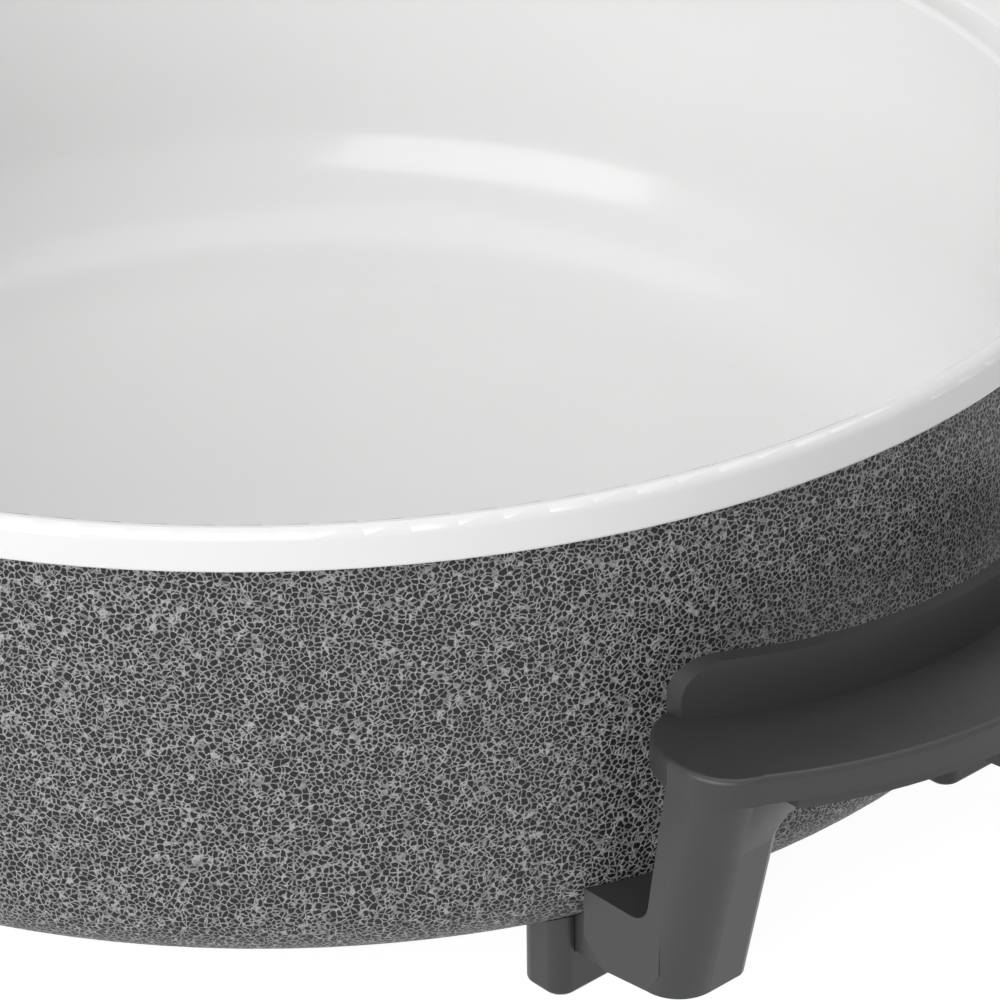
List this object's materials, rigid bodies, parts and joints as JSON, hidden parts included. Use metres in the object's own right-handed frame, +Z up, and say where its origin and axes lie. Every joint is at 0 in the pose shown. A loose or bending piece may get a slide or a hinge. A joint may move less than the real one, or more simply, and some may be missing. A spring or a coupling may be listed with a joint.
{
  "type": "electric skillet",
  "caption": "Round deep electric skillet with white coated bowl, hammertone outside, two grip handles that carry the feet, hinged glass lid and a plug-in control probe.",
  "frame": {"origin": "on the table under the middle of the pan", "axes": "+Z up; handles along X; control probe towards -Y; lid hinge at +Y"},
  "size_m": [0.4152, 0.5568, 0.4541],
  "materials": {
    "pan_coating": "cast aluminium with hammertone paint outside and a glossy white coating inside",
    "phenolic": "satin black moulded phenolic",
    "steel": "brushed stainless steel",
    "aluminium": "satin",
    "lid_glass": "clear tempered glass",
    "seal": "matt",
    "case_plastic": "fine spark texture",
    "dial_plastic": "satin gloss",
    "brass": "plain",
    "ceramic": "steatite ceramic",
    "lamp": "clear",
    "lens": "clear red"
  },
  "bodies": {
    "pan": {"pan_casting": "pan_coating", "heating_element": "steel", "terminal_pins": "steel", "probe_sleeve": "steel", "terminal_guard": "aluminium", "guard_screws": "steel", "handle_grip_right": "phenolic", "handle_frame_right": "phenolic", "grip_screws_right": "steel", "handle_grip_left": "phenolic", "handle_frame_left": "phenolic", "grip_screws_left": "steel", "foot_front_right": "phenolic", "foot_rear_right": "phenolic", "foot_front_left": "phenolic", "foot_rear_left": "phenolic", "foot_screws": "steel", "hinge_bracket": "steel", "hinge_screws": "steel", "hinge_pin": "steel"},
    "lid": {"lid_glass": "lid_glass", "lid_band": "steel", "knob_washer": "steel", "lid_knob": "phenolic", "knob_seal": "seal", "knob_screw": "steel", "vent_grommet": "steel", "lid_hinge_arm": "steel", "arm_pads": "seal", "arm_screws": "steel"},
    "control_probe": {"control_case_base": "case_plastic", "control_case_top": "case_plastic", "case_screws": "steel", "probe_rod": "steel", "contact_sockets": "brass", "thermostat_bracket": "steel", "insulator_stack": "ceramic", "bimetal_blade": "steel", "contact_blade": "brass", "indicator_lamp": "lamp", "indicator_lens": "lens", "cord_gland": "seal"},
    "dial": {"control_dial": "dial_plastic", "dial_shaft": "steel"}
  },
  "joints": [
    {"name": "lid_hinge", "type": "hinge", "parent": "pan", "child": "lid", "pos_m": [0, 0.179, 0.12], "axis": [1, 0, 0], "range_deg": [0, 105]},
    {"name": "probe_pull", "type": "slide", "parent": "pan", "child": "control_probe", "axis": [0, -1, 0], "range_m": [0, 0.085]},
    {"name": "dial_turn", "type": "hinge", "parent": "control_probe", "child": "dial", "pos_m": [0, -0.232, 0.034], "axis": [0, 0, 1], "range_deg": [-300, 0]}
  ]
}
